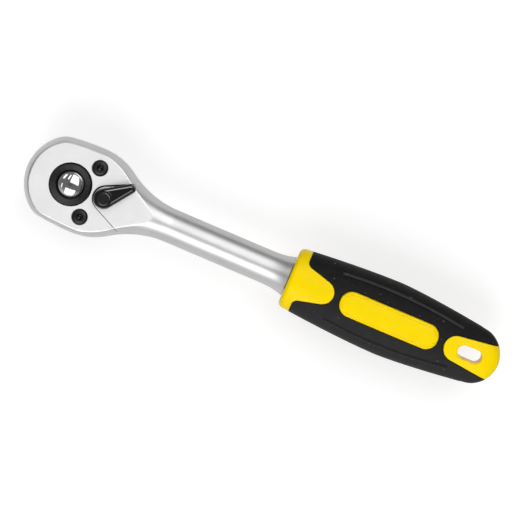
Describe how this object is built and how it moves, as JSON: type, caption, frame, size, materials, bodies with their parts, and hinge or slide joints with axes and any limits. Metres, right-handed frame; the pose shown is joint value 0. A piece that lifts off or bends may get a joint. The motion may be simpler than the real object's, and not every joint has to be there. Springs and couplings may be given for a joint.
{
  "type": "reversible ratchet",
  "caption": "Reversible ratchet handle with a square drive, quick-release button, reversing lever and a two-colour moulded grip with a hanging slot.",
  "frame": {"origin": "centre of the drive square's tip face", "axes": "+X along the handle towards the grip's end, +Z along the drive axis from the square's tip to the release button, and the reversing lever rests towards +Y"},
  "size_m": [0.2492, 0.044, 0.0402],
  "materials": {
    "satin_chrome": "satin chrome plating over forged steel, fine blasted grain",
    "polished_chrome": "mirror-polished chrome plating",
    "black_oxide_steel": "black oxide, turned, semi-matt",
    "spring_steel": "oiled hardened steel",
    "yellow_plastic": "moulded plastic, semi-gloss",
    "black_rubber": "soft moulded rubber, matt with a fine grain"
  },
  "bodies": {
    "root": {"ratchet_body": "satin_chrome", "cover_plate": "satin_chrome", "cover_screw_upper": "black_oxide_steel", "cover_screw_lower": "black_oxide_steel", "grip_core": "yellow_plastic", "grip_sleeve": "black_rubber"},
    "drive": {"drive_gear": "black_oxide_steel", "button_snap_ring": "spring_steel", "button_spring": "spring_steel"},
    "release": {"release_button": "polished_chrome"},
    "ball": {"detent_ball": "polished_chrome"},
    "lever": {"reverse_lever": "black_oxide_steel", "lever_shaft": "black_oxide_steel", "plunger_spring": "spring_steel"},
    "plunger": {"detent_plunger": "spring_steel"},
    "rocker": {"pawl": "spring_steel"}
  },
  "joints": [
    {"name": "drive_spin", "type": "hinge", "parent": "root", "child": "drive", "pos_m": [0, 0, 0], "axis": [0, 0, 1], "continuous": true},
    {"name": "button_press", "type": "slide", "parent": "drive", "child": "release", "axis": [0, 0, -1], "range_m": [0, 0.0024], "stiffness_N_per_m": 600, "springref_m": -0.002, "deforming": ["button_spring"]},
    {"name": "ball_slide", "type": "slide", "parent": "drive", "child": "ball", "axis": [0, 1, 0], "range_m": [0, 0.0008]},
    {"name": "lever_turn", "type": "hinge", "parent": "root", "child": "lever", "pos_m": [0.0177, 0, 0], "axis": [0, 0, 1], "range_deg": [-86.4, 0]},
    {"name": "plunger_slide", "type": "slide", "parent": "lever", "child": "plunger", "axis": [0.729, 0.6845, 0], "range_m": [0, 0.0003], "stiffness_N_per_m": 300, "springref_m": 0.0015},
    {"name": "pawl_rock", "type": "hinge", "parent": "root", "child": "rocker", "pos_m": [0.0177, 0, 0], "axis": [0, 0, 1], "range_deg": [0, 9]}
  ],
  "couplings": [
    {"joint": "ball_slide", "follows": "button_press", "ratio": 0.33333},
    {"joint": "pawl_rock", "follows": "lever_turn", "ratio": -0.10417}
  ]
}
